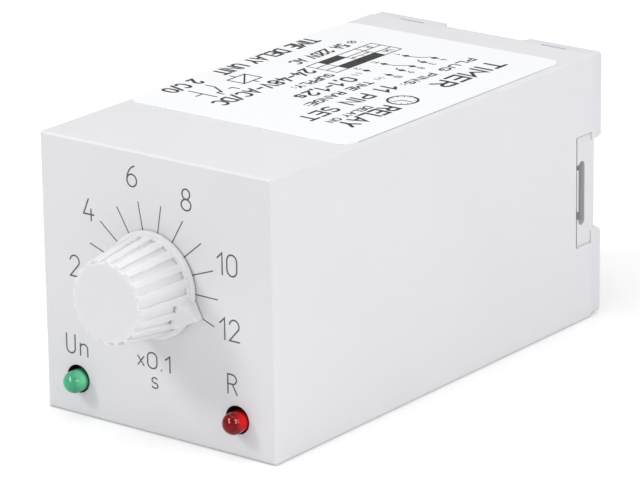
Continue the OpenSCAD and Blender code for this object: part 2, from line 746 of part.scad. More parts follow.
housing();
label();
base();
plug_pins();
pin_solder();
base_board();
main_board();
board_link();
control_board();
control_link();
pot_body();
pot_track();
pot_cover();
pot_terminals();
pot_rotor();
pot_wiper();
knob();
knob_spring();
led_green();
led_red();
led_leads();
led_spacers();
relay_base();
relay_cover();
relay_yoke();
relay_core();
relay_bobbin();
relay_coil();
relay_coil_pins();
relay_armature();
relay_pusher();
relay_hinge_clip();
relay_springs();
relay_buttons();
relay_common_blades();
relay_nc_blades();
relay_no_blades();
filter_capacitor();
capacitor_seal();
timing_capacitor();
bridge_rectifier();
timer_ic();
chip_legs();
transistors();
diodes();
resistors();
varistor();
trimmer_body();
trimmer_rotor();
component_leads();
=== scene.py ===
"""A plug-in timer relay lying on its side on white paper.

The front panel, with its knob and two lamps, faces -Y at y = -73.5 mm. The eleven-pin plug is
at the back, near y = 0, and points along +Y. The label lies on top, at z = 19.1 mm.
Sizes and places are in millimetres in the part's own frame, except where metres are named.
"""

import math

import bpy
from mathutils import Matrix, Vector


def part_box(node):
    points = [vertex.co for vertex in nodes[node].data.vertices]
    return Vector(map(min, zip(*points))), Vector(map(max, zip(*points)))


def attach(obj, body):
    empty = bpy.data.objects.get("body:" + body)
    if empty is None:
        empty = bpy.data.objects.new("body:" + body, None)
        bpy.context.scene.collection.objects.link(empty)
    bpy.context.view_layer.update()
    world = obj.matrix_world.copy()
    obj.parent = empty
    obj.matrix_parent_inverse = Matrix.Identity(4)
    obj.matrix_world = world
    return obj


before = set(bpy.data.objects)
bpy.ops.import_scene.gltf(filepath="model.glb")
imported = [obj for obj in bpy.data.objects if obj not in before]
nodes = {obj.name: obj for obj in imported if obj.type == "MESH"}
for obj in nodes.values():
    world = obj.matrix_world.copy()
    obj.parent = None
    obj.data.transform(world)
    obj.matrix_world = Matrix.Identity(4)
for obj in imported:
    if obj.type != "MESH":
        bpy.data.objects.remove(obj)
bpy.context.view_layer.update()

MM = 0.001
FRONT = -73.5  # y of the front panel
LABEL_TOP = 19.1  # z of the label's face
LABEL_FOOT = 19.0  # z of the housing beside the label
FLOOR = -19.02  # z of the paper
TAB_X = 19.4  # |x| of the outer face of the side tabs
LAMP_HOLES = ((-13.72, -13.97), (12.93, -13.97))  # x, z
DOME_R = 1.5


# ------------------------------------------------------------------ shader helpers


def srgb(*channels):
    """Linear colour from 0-255 sRGB channels."""

    def linear(c):
        c /= 255.0
        return c / 12.92 if c <= 0.04045 else ((c + 0.055) / 1.055) ** 2.4

    return tuple(linear(c) for c in channels)


def tone(color, gain):
    return tuple(min(1.0, max(0.0, v * gain)) for v in color)


class Shader:
    """A material with a Principled surface, and helpers that add nodes to it."""

    def __init__(self, name):
        self.material = bpy.data.materials.new(name)
        self.material.use_nodes = True
        self.tree = self.material.node_tree
        self.tree.nodes.clear()
        self.out = self.add("OutputMaterial")
        self.bsdf = self.add("BsdfPrincipled")
        self.put(self.bsdf.outputs[0], self.out.inputs[0])
        self.place = self.add("TexCoord").outputs["Object"]

    def add(self, kind, **settings):
        node = self.tree.nodes.new("ShaderNode" + kind)
        for name, value in settings.items():
            setattr(node, name, value)
        return node

    def put(self, value, socket):
        """Link an output to the socket, or set the socket to a plain value."""
        if isinstance(value, bpy.types.NodeSocket):
            self.tree.links.new(value, socket)
        else:
            socket.default_value = value

    def feed(self, node, **inputs):
        """Fill a node's sockets by name; an underscore stands for a space."""
        for name, value in inputs.items():
            self.put(value, node.inputs[name.replace("_", " ")])

    def base_color(self):
        return self.bsdf.inputs["Base Color"].links[0].from_socket

    def split(self, vector):
        node = self.add("SeparateXYZ")
        self.put(vector, node.inputs[0])
        return node.outputs

    def noise(self, scale, detail=3.0, stretch=None):
        node = self.add("TexNoise")
        source = self.place
        if stretch:
            mapping = self.add("Mapping")
            self.feed(mapping, Scale=stretch, Vector=source)
            source = mapping.outputs[0]
        self.feed(node, Scale=scale, Detail=detail, Roughness=0.55, Vector=source)
        return node.outputs["Fac"]

    def mix(self, factor, a, b):
        node = self.add("Mix", data_type="RGBA")
        self.put(factor, node.inputs["Factor"])
        for value, socket in ((a, node.inputs[6]), (b, node.inputs[7])):
            self.put((*value, 1.0) if isinstance(value, tuple) else value, socket)
        return node.outputs[2]

    def span(self, value, to=(0.0, 1.0), over=(0.3, 0.7)):
        """Map the range 'over' of the value onto the range 'to'."""
        node = self.add("MapRange")
        self.feed(node, From_Min=over[0], From_Max=over[1], To_Min=to[0], To_Max=to[1], Value=value)
        return node.outputs[0]

    def math(self, operation, a, b):
        node = self.add("Math", operation=operation)
        self.put(a, node.inputs[0])
        self.put(b, node.inputs[1])
        return node.outputs[0]

    def times(self, a, b):
        return self.math("MULTIPLY", a, b)

    def vector_math(self, operation, *values, output="Vector"):
        node = self.add("VectorMath", operation=operation)
        for value, socket in zip(values, node.inputs):
            self.put(value, socket)
        return node.outputs[output]

    def occlusion(self, reach):
        node = self.add("AmbientOcclusion", samples=12)
        self.feed(node, Distance=reach * MM)
        return node.outputs["AO"]

    def outside(self, low, high, left, soft=0.05):
        """1 outside a box, 'left' inside it, with edges 'soft' to either side."""
        axes = self.split(self.place)
        inside = None
        for i in range(3):
            for edge, margin in ((low[i], soft), (high[i], -soft)):
                step = self.span(axes[i], over=((edge - margin) * MM, (edge + margin) * MM))
                inside = step if inside is None else self.times(inside, step)
        return self.span(inside, to=(1.0, left), over=(0, 1))

    def bump(self, height, distance, strength):
        node = self.add("Bump")
        self.feed(node, Distance=distance * MM, Strength=strength, Height=height)
        self.feed(self.bsdf, Normal=node.outputs[0])


# ------------------------------------------------------------------ kinds of surface


def surface(
    name,
    rgb,
    rough,
    metal=0.0,
    vary=0.03,  # how far the colour strays
    patch=90.0,  # noise scale of the broad patches
    grain=2600.0,  # noise scale of the fine grain
    depth=0.004,  # height of the grain, mm
    rough_vary=0.06,
    coat=0.0,
    stretch=None,  # noise scaling along x, y and z
    spec=0.5,
    sss=0.0,
    crease=None,  # painted shade in narrow gaps: reach in mm, tone of the shade, and 'start', where it sets in
    ledges=False,
    calm=(),  # boxes where the shade is kept light: low, high, what is left of it
    lift=None,  # painted light on groove floors: reach in mm, tone, and the span of occlusion
):
    s = Shader(name)
    color = srgb(*rgb)
    broad = s.noise(scale=patch, detail=4.0)
    fine = s.noise(scale=grain, detail=2.0, stretch=stretch)
    tint = s.mix(s.span(broad), tone(color, 1 - vary), tone(color, 1 + vary))
    tint = s.mix(s.span(fine, to=(0, 0.35)), tint, tone(color, 1 - 1.6 * vary))
    if crease:
        # painted shade: the colour darkens in narrow gaps, where the occlusion finds them
        shade = s.span(s.occlusion(crease["reach"]), to=(1, 0), over=(0.1, crease["start"]))
        if ledges:
            # a narrow ledge that faces up still catches the light
            facing = s.split(s.add("NewGeometry").outputs["True Normal"])
            shade = s.times(shade, s.span(facing["Z"], to=(1, 0.25), over=(0.4, 0.9)))
        for low, high, left in calm:
            shade = s.times(shade, s.outside(low, high, left))
        if lift:
            # painted light: a groove's floor is lightened, as light plastic would pass light into
            # it from both sides
            groove = s.span(s.occlusion(lift["reach"]), to=(1, 0), over=lift["over"])
            tint = s.mix(groove, tint, tone(color, lift["gain"]))
        tint = s.mix(shade, tint, tone(color, crease["dark"]))
    middle = s.noise(scale=patch * 4, stretch=stretch)
    s.feed(
        s.bsdf,
        Base_Color=tint,
        Roughness=s.span(middle, to=(rough - rough_vary, rough + rough_vary)),
        Metallic=metal,
        Coat_Weight=coat,
        Specular_IOR_Level=spec,
    )
    s.bump(fine, distance=depth, strength=0.6)
    if sss:
        radius = (0.001, 0.001, 0.001)
        s.feed(s.bsdf, Subsurface_Weight=sss, Subsurface_Radius=radius, Subsurface_Scale=0.6)
    return s


def lens(name, part, color, deep, glow, pit, lit, glow_from, sink, coat, rim):
    """Diffused epoxy with painted light and shade: dark where one looks straight in, a painted
    glow on the side where the dome gathers light, and darker toward the bottom.

    glow_from is where the painted bright side sets in, lit its emission, sink how far the
    painted shade goes to 'pit' inside the panel's hole, and rim the y range over which it does so.
    """
    s = Shader(name)
    color, deep, glow, pit = srgb(*color), srgb(*deep), srgb(*glow), srgb(*pit)
    black = (0.0, 0.0, 0.0)
    # the exact normal of a round-ended rod, so reflections run smoothly over the dome
    front = [v.co for v in nodes[part].data.vertices if v.co.y < -74.0 * MM]
    xs, ys, zs = zip(*front)
    centre = ((min(xs) + max(xs)) / 2, min(ys) + DOME_R * MM, (min(zs) + max(zs)) / 2)
    offset = s.vector_math("SUBTRACT", s.place, centre)
    offset = s.vector_math("MINIMUM", offset, (1.0, 0.0, 1.0))
    normal = s.vector_math("NORMALIZE", offset)

    def toward(*direction):
        return s.vector_math("DOT_PRODUCT", normal, direction, output="Value")

    # painted light and shade: one side of the dome lighter and glowing, the bottom darker
    side = s.span(toward(0.77, 0.60, 0.15), over=(glow_from, 0.95))
    low = s.span(toward(0.20, 0.30, -0.93), to=(0, 0.7), over=(-0.10, 0.80))
    tint = s.mix(side, color, glow)
    tint = s.mix(low, tint, deep)
    tint = s.mix(s.span(s.noise(scale=700, detail=2), to=(0, 0.12)), tint, deep)
    # painted shade where the lens sits inside the panel's hole
    depth = s.split(s.place)["Y"]
    under = s.span(depth, to=(0, sink), over=(rim[0] * MM, rim[1] * MM))
    s.feed(
        s.bsdf,
        Base_Color=s.mix(under, tint, pit),
        Emission_Color=s.mix(under, s.mix(side, black, glow), black),
        Emission_Strength=lit,
        Roughness=s.span(s.noise(scale=1500, detail=2), to=(0.05, 0.09)),
        Transmission_Weight=0.12,
        IOR=1.52,
        Specular_IOR_Level=0.05,
        Coat_Weight=coat,
        Coat_Roughness=0.03,
        Coat_Normal=normal,
    )
    return s.material


def solder_mask():
    s = Shader("solder_mask")
    green = srgb(24, 92, 52)
    brick = s.add("TexBrick")
    s.feed(
        brick,
        Scale=160.0,
        Mortar_Size=0.10,
        Color1=(*tone(green, 0.75), 1),
        Color2=(*tone(green, 0.9), 1),
        Mortar=(*tone(green, 1.35), 1),
        Vector=s.place,
    )
    tint = s.mix(s.span(s.noise(scale=300), to=(0, 0.5)), brick.outputs["Color"], green)
    s.feed(s.bsdf, Base_Color=tint, Roughness=s.span(s.noise(scale=500), to=(0.22, 0.38)))
    s.bump(brick.outputs["Fac"], distance=0.03, strength=0.5)
    return s.material


# ------------------------------------------------------------------ housing and base


def both_sides(inner):
    """The x ranges from 'inner' out to the tabs' outer faces, on the -X and the +X side."""
    return ((-TAB_X, -inner), (inner, TAB_X))


def shade_lamp_holes(s):
    """Hardly any light gets down the gap round each lamp, so the holes' walls are dark."""
    axes = s.split(s.place)
    near = None
    for x, z in LAMP_HOLES:
        flat = s.add("CombineXYZ")
        s.put(axes["X"], flat.inputs[0])
        s.put(axes["Z"], flat.inputs[1])
        centre = (x * MM, z * MM, 0)
        away = s.vector_math("DISTANCE", flat.outputs[0], centre, output="Value")
        wall = s.span(away, to=(1, 0), over=(1.90 * MM, 1.95 * MM))
        near = wall if near is None else s.math("MAXIMUM", near, wall)
    s.feed(s.bsdf, Base_Color=s.mix(near, s.base_color(), srgb(44, 46, 47)))


def edge_shine(s):
    """Painted highlight: the rounded front edges are a little lighter than the faces, as a
    highlight runs along them.
    """
    normal = s.split(s.add("NewGeometry").outputs["Normal"])
    tint = s.base_color()
    for axis, most in (("Z", 0.17), ("X", 0.14)):
        both = s.times(normal["Y"], normal[axis])
        shine = s.span(both, to=(0, most), over=(-0.24, -0.42))
        tint = s.mix(shine, tint, srgb(252, 252, 254))
    s.feed(s.bsdf, Base_Color=tint)


def housing_plastic():
    calm = [
        ((-12.5, -73.7, -9.5), (11.5, -72.8, 12.8), 0.35),
        ((-20, -74, -19.2), (20, 0.5, -18.0), 0.0),
    ]
    for a, b in both_sides(16.5):
        calm.append(((a, -5.35, -8.5), (b, -0.9, 8.4), 0.0))
    s = surface(
        "housing_plastic", (222, 222, 225), rough=0.46, vary=0.012, patch=60, grain=5200,
        depth=0.010, rough_vary=0.04, spec=0.4, crease=dict(reach=0.8, dark=0.12, start=0.62),
        ledges=True, calm=calm,
    )
    shade_lamp_holes(s)
    edge_shine(s)
    return s.material


def base_plastic():
    calm = [((-20, -3, -19.2), (20, 0.5, -18.0), 0.0)]
    for a, b in both_sides(16.5):
        calm.append(((a, -5.60, 7.45), (b, -1.9, 8.4), 0.0))
        calm.append(((a, -5.60, -8.4), (b, -1.9, -7.7), 0.0))
        calm.append(((a, -2.40, -8.4), (b, -1.9, 8.4), 0.0))
    s = surface(
        "base_plastic", (218, 218, 223), rough=0.42, vary=0.015, patch=80, grain=5200,
        depth=0.010, rough_vary=0.05, spec=0.4, crease=dict(reach=0.8, dark=0.15, start=0.62),
        calm=calm,
    )
    # the side tabs are a shade lighter than the rim behind them
    tint = s.base_color()
    for a, b in both_sides(18.5):
        beyond = s.outside((a, -5.7, -8.4), (b, -1.2, 8.4), left=0.0)
        tint = s.mix(beyond, srgb(221, 221, 223), tint)
    s.feed(s.bsdf, Base_Color=tint)
    return s.material


# ------------------------------------------------------------------ all materials
# key, name, sRGB, roughness, metal, colour variation, patch scale, grain scale,
# grain depth in mm, other arguments of surface()
PLAIN = (
    ("label", "label_film", (246, 247, 249), 0.34, 0, 0.004, 140, 3200, 0.0008,
     dict(rough_vary=0.02)),
    ("ink_panel", "panel_ink", (88, 90, 94), 0.5, 0, 0.10, 700, 6000, 0.002, {}),
    ("ink_label", "label_ink", (22, 23, 25), 0.42, 0, 0.12, 700, 6000, 0.002, {}),
    # a painted shadow beside the label's +X edge
    ("label_shadow_paint", "label_edge_shade", (146, 148, 152), 0.6, 0, 0.06, 700, 6000, 0.002, {}),
    ("ink_pins", "pin_number_ink", (128, 130, 136), 0.5, 0, 0.10, 700, 6000, 0.002, {}),
    ("pins", "nickel_pin", (206, 203, 192), 0.24, 1, 0.05, 400, 3000, 0.004,
     dict(stretch=(1, 0.06, 1))),
    ("solder", "solder", (190, 193, 198), 0.36, 1, 0.08, 900, 4000, 0.02, {}),
    ("tin", "tinned_wire", (202, 202, 200), 0.28, 1, 0.05, 600, 4000, 0.004, {}),
    ("black", "black_moulding", (30, 31, 33), 0.48, 0, 0.12, 200, 3600, 0.02, {}),
    ("phenolic", "carbon_track", (70, 48, 34), 0.55, 0, 0.15, 500, 2600, 0.02, {}),
    ("steel", "sheet_steel", (172, 175, 180), 0.34, 1, 0.05, 200, 2200, 0.006,
     dict(stretch=(1, 0.1, 1))),
    ("iron", "relay_iron", (160, 162, 166), 0.40, 1, 0.06, 300, 2600, 0.010, {}),
    ("white", "white_moulding", (228, 226, 218), 0.45, 0, 0.03, 200, 3600, 0.010, {}),
    ("brass", "spring_brass", (200, 160, 92), 0.30, 1, 0.06, 260, 2600, 0.006,
     dict(stretch=(0.1, 1, 1))),
    ("silver", "contact_silver", (222, 222, 220), 0.22, 1, 0.05, 600, 4000, 0.004, {}),
    ("coil", "coil_wire", (166, 84, 34), 0.30, 0.6, 0.12, 200, 1200, 0.06,
     dict(stretch=(0.05, 0.05, 6))),
    ("pusher", "pusher_moulding", (222, 198, 96), 0.45, 0, 0.05, 300, 3600, 0.010, {}),
    ("cover", "relay_cover", (38, 42, 50), 0.24, 0, 0.08, 120, 3600, 0.008, dict(coat=0.2)),
    ("sleeve", "capacitor_sleeve", (30, 38, 84), 0.26, 0, 0.08, 160, 2600, 0.008,
     dict(coat=0.2)),
    ("rubber", "rubber_seal", (22, 22, 22), 0.75, 0, 0.15, 400, 2600, 0.03, {}),
    ("film", "film_capacitor", (176, 44, 28), 0.32, 0, 0.06, 160, 3000, 0.010,
     dict(coat=0.15)),
    ("lacquer", "resistor_lacquer", (198, 172, 124), 0.32, 0, 0.06, 500, 3000, 0.012,
     dict(coat=0.2)),
    ("dipped", "varistor_lacquer", (30, 74, 150), 0.26, 0, 0.06, 300, 1800, 0.03,
     dict(coat=0.3)),
    ("trimmer", "trimmer_case", (32, 78, 156), 0.38, 0, 0.06, 200, 3600, 0.010, {}),
)

mats = {"housing": housing_plastic(), "base": base_plastic()}
mats["knob"] = surface(
    "knob_plastic", (223, 223, 225), rough=0.36, vary=0.012, patch=120, grain=4800,
    depth=0.006, rough_vary=0.04, spec=0.35, sss=0.45,
    # painted shade in the narrow gaps, and painted light on the groove floors
    crease=dict(reach=0.24, dark=0.66, start=0.50),
    lift=dict(reach=1.2, gain=1.10, over=(0.68, 0.96)),
).material
for key, *columns, others in PLAIN:
    mats[key] = surface(*columns, **others).material
# lens colours hold painted light and shade: a painted glow, and painted shade low down and inside
# the holes
mats["green"] = lens(
    "green_lens", "led_green", color=(78, 180, 136), deep=(44, 130, 94), glow=(126, 244, 182),
    pit=(14, 74, 46), lit=0.08, glow_from=0.10, sink=0.85, coat=0.45, rim=(-74.15, -73.65),
)
mats["red"] = lens(
    "red_lens", "led_red", color=(130, 0, 8), deep=(92, 2, 10), glow=(240, 4, 4),
    pit=(70, 0, 4), lit=0.24, glow_from=0.28, sink=0.70, coat=0.28, rim=(-73.9, -73.3),
)
mats["board"] = solder_mask()
for tag, rgb in (("green", (190, 214, 196)), ("red", (214, 190, 190))):
    mats[f"{tag}_core"] = surface(
        f"{tag}_lead_frame", rgb, rough=0.3, metal=1.0, vary=0.05, patch=900, grain=5000,
    ).material

# ------------------------------------------------------------------ dressing the parts
PARTS_BY_LOOK = {
    "housing": "housing",
    "label": "label",
    "base": "base",
    "pins": "plug_pins",
    "solder": "pin_solder",
    "board": "base_board main_board control_board",
    "tin": "board_link control_link pot_terminals led_leads relay_coil_pins chip_legs "
    "component_leads",
    "black": "pot_body led_spacers relay_base bridge_rectifier timer_ic transistors diodes",
    "phenolic": "pot_track",
    "steel": "pot_cover knob_spring relay_hinge_clip",
    "white": "pot_rotor relay_bobbin trimmer_rotor",
    "brass": "pot_wiper relay_springs relay_common_blades relay_nc_blades relay_no_blades",
    "knob": "knob",
    "green": "led_green",
    "red": "led_red",
    "cover": "relay_cover",
    "iron": "relay_yoke relay_core relay_armature",
    "coil": "relay_coil",
    "pusher": "relay_pusher",
    "silver": "relay_buttons",
    "sleeve": "filter_capacitor",
    "rubber": "capacitor_seal",
    "film": "timing_capacitor",
    "lacquer": "resistors",
    "dipped": "varistor",
    "trimmer": "trimmer_body",
}
PARTS_BY_BEVEL = {
    0.03: "label",
    0.10: "housing plug_pins relay_bobbin trimmer_rotor relay_pusher",
    0.12: "pot_rotor relay_base relay_yoke relay_armature",
    0.14: "knob",
    0.15: "pot_body led_spacers",
    0.20: "bridge_rectifier timer_ic transistors diodes",
    0.22: "base",
    0.25: "relay_cover trimmer_body",
    0.30: "resistors",
    0.35: "timing_capacitor",
    1.1: "varistor",
}


def by_part(groups):
    return {part: value for value, parts in groups.items() for part in parts.split()}


def finish_edges(part, width):
    bpy.ops.object.select_all(action="DESELECT")
    bpy.context.view_layer.objects.active = part
    part.select_set(True)
    bpy.ops.mesh.customdata_custom_splitnormals_clear()
    part.select_set(False)
    for face in part.data.polygons:
        face.use_smooth = True
    weld = part.modifiers.new("weld", "WELD")
    weld.merge_threshold = 2e-6
    bevel = part.modifiers.new("edges", "BEVEL")
    bevel.width = width * MM
    bevel.segments = 3
    bevel.limit_method = "ANGLE"
    bevel.angle_limit = math.radians(32)
    bevel.use_clamp_overlap = True
    bevel.harden_normals = True


looks, bevels = by_part(PARTS_BY_LOOK), by_part(PARTS_BY_BEVEL)
for name, part in nodes.items():
    part.data.materials.clear()
    part.data.materials.append(mats[looks[name]])
    if name in bevels:
        finish_edges(part, bevels[name])

# ------------------------------------------------------------------ line lettering


def arc(cx, cy, rx, ry, start, end, steps=10):
    """Points on an ellipse, with angles in degrees."""
    angles = [math.radians(start + (end - start) * i / steps) for i in range(steps + 1)]
    return [(cx + rx * math.cos(a), cy + ry * math.sin(a)) for a in angles]


# one unit is the height of a capital; each glyph is (advance width, strokes)
GLYPH = {
    "0": (0.56, [arc(0.28, 0.70, 0.28, 0.30, 0, 180) + arc(0.28, 0.30, 0.28, 0.30, 180, 360)
                 + [(0.56, 0.70)]]),
    "1": (0.30, [[(0, 0.74), (0.27, 1), (0.27, 0)]]),
    "2": (0.56, [arc(0.28, 0.72, 0.27, 0.28, 168, -28) + [(0, 0), (0.56, 0)]]),
    "3": (0.56, [arc(0.26, 0.76, 0.25, 0.24, 150, -90), arc(0.26, 0.26, 0.28, 0.26, 90, -150)]),
    "4": (0.60, [[(0.30, 1), (0, 0.28), (0.60, 0.28)], [(0.44, 0.54), (0.44, 0)]]),
    "5": (0.54, [[(0.50, 1), (0.08, 1), (0.04, 0.56)] + arc(0.25, 0.32, 0.29, 0.32, 128, -145)]),
    "6": (0.56, [arc(0.28, 0.29, 0.28, 0.29, 180, 540, 18),
                 [(0, 0.29)] + arc(0.60, 0.29, 0.60, 0.72, 180, 106, 8)]),
    "7": (0.50, [[(0, 1), (0.50, 1), (0.16, 0)]]),
    "8": (0.56, [arc(0.28, 0.76, 0.22, 0.24, -90, 270, 16),
                 arc(0.28, 0.26, 0.28, 0.26, 90, 450, 16)]),
    "9": (0.56, [arc(0.28, 0.71, 0.28, 0.29, 0, 360, 18),
                 [(0.56, 0.71)] + arc(-0.04, 0.71, 0.60, 0.72, 0, -74, 8)]),
    "A": (0.62, [[(0, 0), (0.31, 1), (0.62, 0)], [(0.11, 0.34), (0.51, 0.34)]]),
    "C": (0.60, [arc(0.32, 0.66, 0.32, 0.34, 40, 180) + arc(0.32, 0.34, 0.32, 0.34, 180, 320)]),
    "D": (0.60, [[(0.28, 0), (0, 0), (0, 1), (0.28, 1)] + arc(0.28, 0.68, 0.32, 0.32, 90, 0)
                 + arc(0.28, 0.32, 0.32, 0.32, 0, -90)]),
    "E": (0.52, [[(0.52, 1), (0, 1), (0, 0), (0.52, 0)], [(0, 0.52), (0.44, 0.52)]]),
    "G": (0.62, [arc(0.32, 0.66, 0.32, 0.34, 40, 180) + arc(0.32, 0.34, 0.32, 0.34, 180, 360)
                 + [(0.64, 0.46), (0.36, 0.46)]]),
    "I": (0.04, [[(0.02, 1), (0.02, 0)]]),
    "L": (0.48, [[(0, 1), (0, 0), (0.48, 0)]]),
    "M": (0.70, [[(0, 0), (0, 1), (0.35, 0.38), (0.70, 1), (0.70, 0)]]),
    "N": (0.58, [[(0, 0), (0, 1), (0.58, 0), (0.58, 1)]]),
    "O": (0.62, [arc(0.31, 0.68, 0.31, 0.32, 0, 180) + arc(0.31, 0.32, 0.31, 0.32, 180, 360)
                 + [(0.62, 0.68)]]),
    "P": (0.54, [[(0, 0), (0, 1), (0.28, 1)] + arc(0.28, 0.74, 0.26, 0.26, 90, -90)
                 + [(0, 0.48)]]),
    "R": (0.56, [[(0, 0), (0, 1), (0.28, 1)] + arc(0.28, 0.75, 0.26, 0.25, 90, -90)
                 + [(0, 0.50)], [(0.28, 0.50), (0.56, 0)]]),
    "S": (0.54, [arc(0.28, 0.75, 0.25, 0.25, 35, 250) + arc(0.26, 0.26, 0.27, 0.26, 70, -145)]),
    "T": (0.56, [[(0, 1), (0.56, 1)], [(0.28, 1), (0.28, 0)]]),
    "U": (0.56, [[(0, 1), (0, 0.28)] + arc(0.28, 0.28, 0.28, 0.28, 180, 360) + [(0.56, 1)]]),
    "V": (0.60, [[(0, 1), (0.30, 0), (0.60, 1)]]),
    "Y": (0.58, [[(0, 1), (0.29, 0.48), (0.58, 1)], [(0.29, 0.48), (0.29, 0)]]),
    "n": (0.48, [[(0, 0), (0, 0.62)],
                 [(0, 0.38)] + arc(0.24, 0.38, 0.24, 0.24, 180, 0) + [(0.48, 0)]]),
    "s": (0.44, [arc(0.22, 0.47, 0.20, 0.16, 30, 250) + arc(0.22, 0.16, 0.22, 0.16, 70, -150)]),
    "x": (0.46, [[(0, 0.04), (0.46, 0.60)], [(0, 0.60), (0.46, 0.04)]]),
    "t": (0.30, [[(0.12, 0.85), (0.12, 0.10), (0.24, 0)], [(0, 0.6), (0.28, 0.6)]]),
    ".": (0.04, [[(0.02, 0), (0.02, 0.03)]]),
    ",": (0.10, [[(0.08, 0.06), (0.02, -0.14)]]),
    ":": (0.06, [[(0.03, 0.08), (0.03, 0.12)], [(0.03, 0.58), (0.03, 0.62)]]),
    "-": (0.44, [[(0.02, 0.44), (0.42, 0.44)]]),
    "+": (0.44, [[(0.02, 0.44), (0.42, 0.44)], [(0.22, 0.64), (0.22, 0.24)]]),
    "/": (0.40, [[(0, -0.06), (0.40, 1.06)]]),
    "(": (0.18, [arc(0.40, 0.44, 0.38, 0.62, 120, 240, 6)]),
    ")": (0.18, [arc(-0.22, 0.44, 0.38, 0.62, 60, -60, 6)]),
    " ": (0.34, []),
}
LETTER_GAP = 0.24


def add_object(name, verts, faces, material):
    mesh = bpy.data.meshes.new(name)
    mesh.from_pydata(verts, [], faces)
    mesh.validate()
    mesh.update()
    made = bpy.data.objects.new(name, mesh)
    bpy.context.scene.collection.objects.link(made)
    mesh.materials.append(material)
    return made


class Print:
    """Flat ink, or a painted shadow, on a plane: ribbons and filled polygons, each a closed plate.
    """

    LIFT = 0.002  # gap under the ink
    STEP = 0.0004  # plates differ in height by this, so that crossings don't coincide

    def __init__(self, name, look, origin, right, up, thick, flatten=1.0):
        self.name, self.material, self.thick = name, mats[look], thick
        self.origin, self.right, self.up = Vector(origin), Vector(right), Vector(up)
        self.normal = self.right.cross(self.up) * flatten
        self.verts, self.faces = [], []
        self.layer = 0

    def place(self, point, height):
        across = self.origin + self.right * point[0] + self.up * point[1]
        return tuple((across + self.normal * height) * MM)

    def plate(self, points):
        pairs = zip(points, points[1:] + points[:1])
        if sum(a[0] * b[1] - b[0] * a[1] for a, b in pairs) < 0:
            points = points[::-1]
        n, first = len(points), len(self.verts)
        top = self.LIFT + self.thick + self.STEP * (self.layer % 7)
        self.layer += 1
        self.verts += [self.place(p, self.LIFT) for p in points]
        self.verts += [self.place(p, top) for p in points]
        self.faces.append(list(range(first + n - 1, first - 1, -1)))
        self.faces.append(list(range(first + n, first + 2 * n)))
        for i in range(n):
            j = (i + 1) % n
            self.faces.append([first + i, first + j, first + n + j, first + n + i])

    def line(self, points, width):
        """One ribbon along the points, mitred at the corners, with rounded ends."""
        points = [Vector(p) for p in points]
        points = [
            p for i, p in enumerate(points) if i == 0 or (p - points[i - 1]).length > 1e-6
        ]
        closed = len(points) > 3 and (points[0] - points[-1]).length < 1e-4
        if closed:
            points = points[:-1]
        half, n = width / 2, len(points)
        left, right = [], []
        for i, p in enumerate(points):
            arriving = (p - points[i - 1]).normalized() if i > 0 or closed else None
            leaving = (points[(i + 1) % n] - p).normalized() if i < n - 1 or closed else None
            arriving = leaving if arriving is None else arriving
            leaving = arriving if leaving is None else leaving
            along = arriving + leaving
            along = along.normalized() if along.length > 1e-6 else arriving
            mitre = Vector((-along.y, along.x))
            # limits how far a sharp corner sticks out
            slant = max(0.45, mitre.dot(Vector((-arriving.y, arriving.x))))
            left.append(p + mitre * (half / slant))
            right.append(p - mitre * (half / slant))
        for i in range(n if closed else n - 1):
            j = (i + 1) % n
            self.plate([tuple(right[i]), tuple(right[j]), tuple(left[j]), tuple(left[i])])
        if not closed:
            for end, inner in ((points[0], points[1]), (points[-1], points[-2])):
                out = (end - inner).normalized()
                angle = math.degrees(math.atan2(out.y, out.x))
                self.plate(arc(end.x, end.y, half, half, angle - 90, angle + 90, 6))

    def ring(self, x, y, radius, weight):
        self.line(arc(x, y, radius, radius, 0, 360, 28), weight)

    def text(self, text, x, base, height, weight, width=None, centred=False):
        """Text with its baseline at 'base', stretched to 'width' if one is given."""
        natural = sum(GLYPH[c][0] for c in text) + LETTER_GAP * (len(text) - 1)
        natural *= height
        stretch = width / natural if width else 1.0
        if centred:
            x -= natural * stretch / 2
        for c in text:
            advance, strokes = GLYPH[c]
            for stroke in strokes:
                points = [(x + px * height * stretch, base + py * height) for px, py in stroke]
                self.line(points, weight)
            x += (advance + LETTER_GAP) * height * stretch

    def build(self):
        made = add_object(self.name, self.verts, self.faces, self.material)
        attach(made, "case")


# ------------------------------------------------------------------ front panel print
DIAL_X, DIAL_Z = -0.7, 1.7
TICK_START, TICK_PITCH = -111.3, 20.17  # degrees clockwise from the top
# text, radius, angle of its centre
DIAL_NUMBERS = (
    ("2", 13.0, -90.4), ("4", 13.1, -52.0), ("6", 14.2, -11.7),
    ("8", 13.7, 26.0), ("10", 13.4, 68.5), ("12", 13.2, 106.4),
)
DIAL_TEXT = 2.85
# text, x, baseline z, height, stroke weight, width
LEGENDS = (
    ("x", -3.4, -9.9, 2.2, 0.19, None),
    ("0.1", -1.75, -9.9, 2.15, 0.21, 3.8),
    ("s", -1.15, -12.55, 2.3, 0.19, None),
    ("U", -15.55, -10.6, 2.6, 0.21, None),
    ("n", -13.2, -10.6, 2.6, 0.21, None),
    ("R", 11.5, -10.6, 2.6, 0.21, None),
)


def panel_print(name):
    return Print(name, "ink_panel", (0, FRONT, 0), (1, 0, 0), (0, 0, 1), thick=0.014)


def on_dial(radius, degrees):
    a = math.radians(degrees)
    return (DIAL_X + radius * math.sin(a), DIAL_Z + radius * math.cos(a))


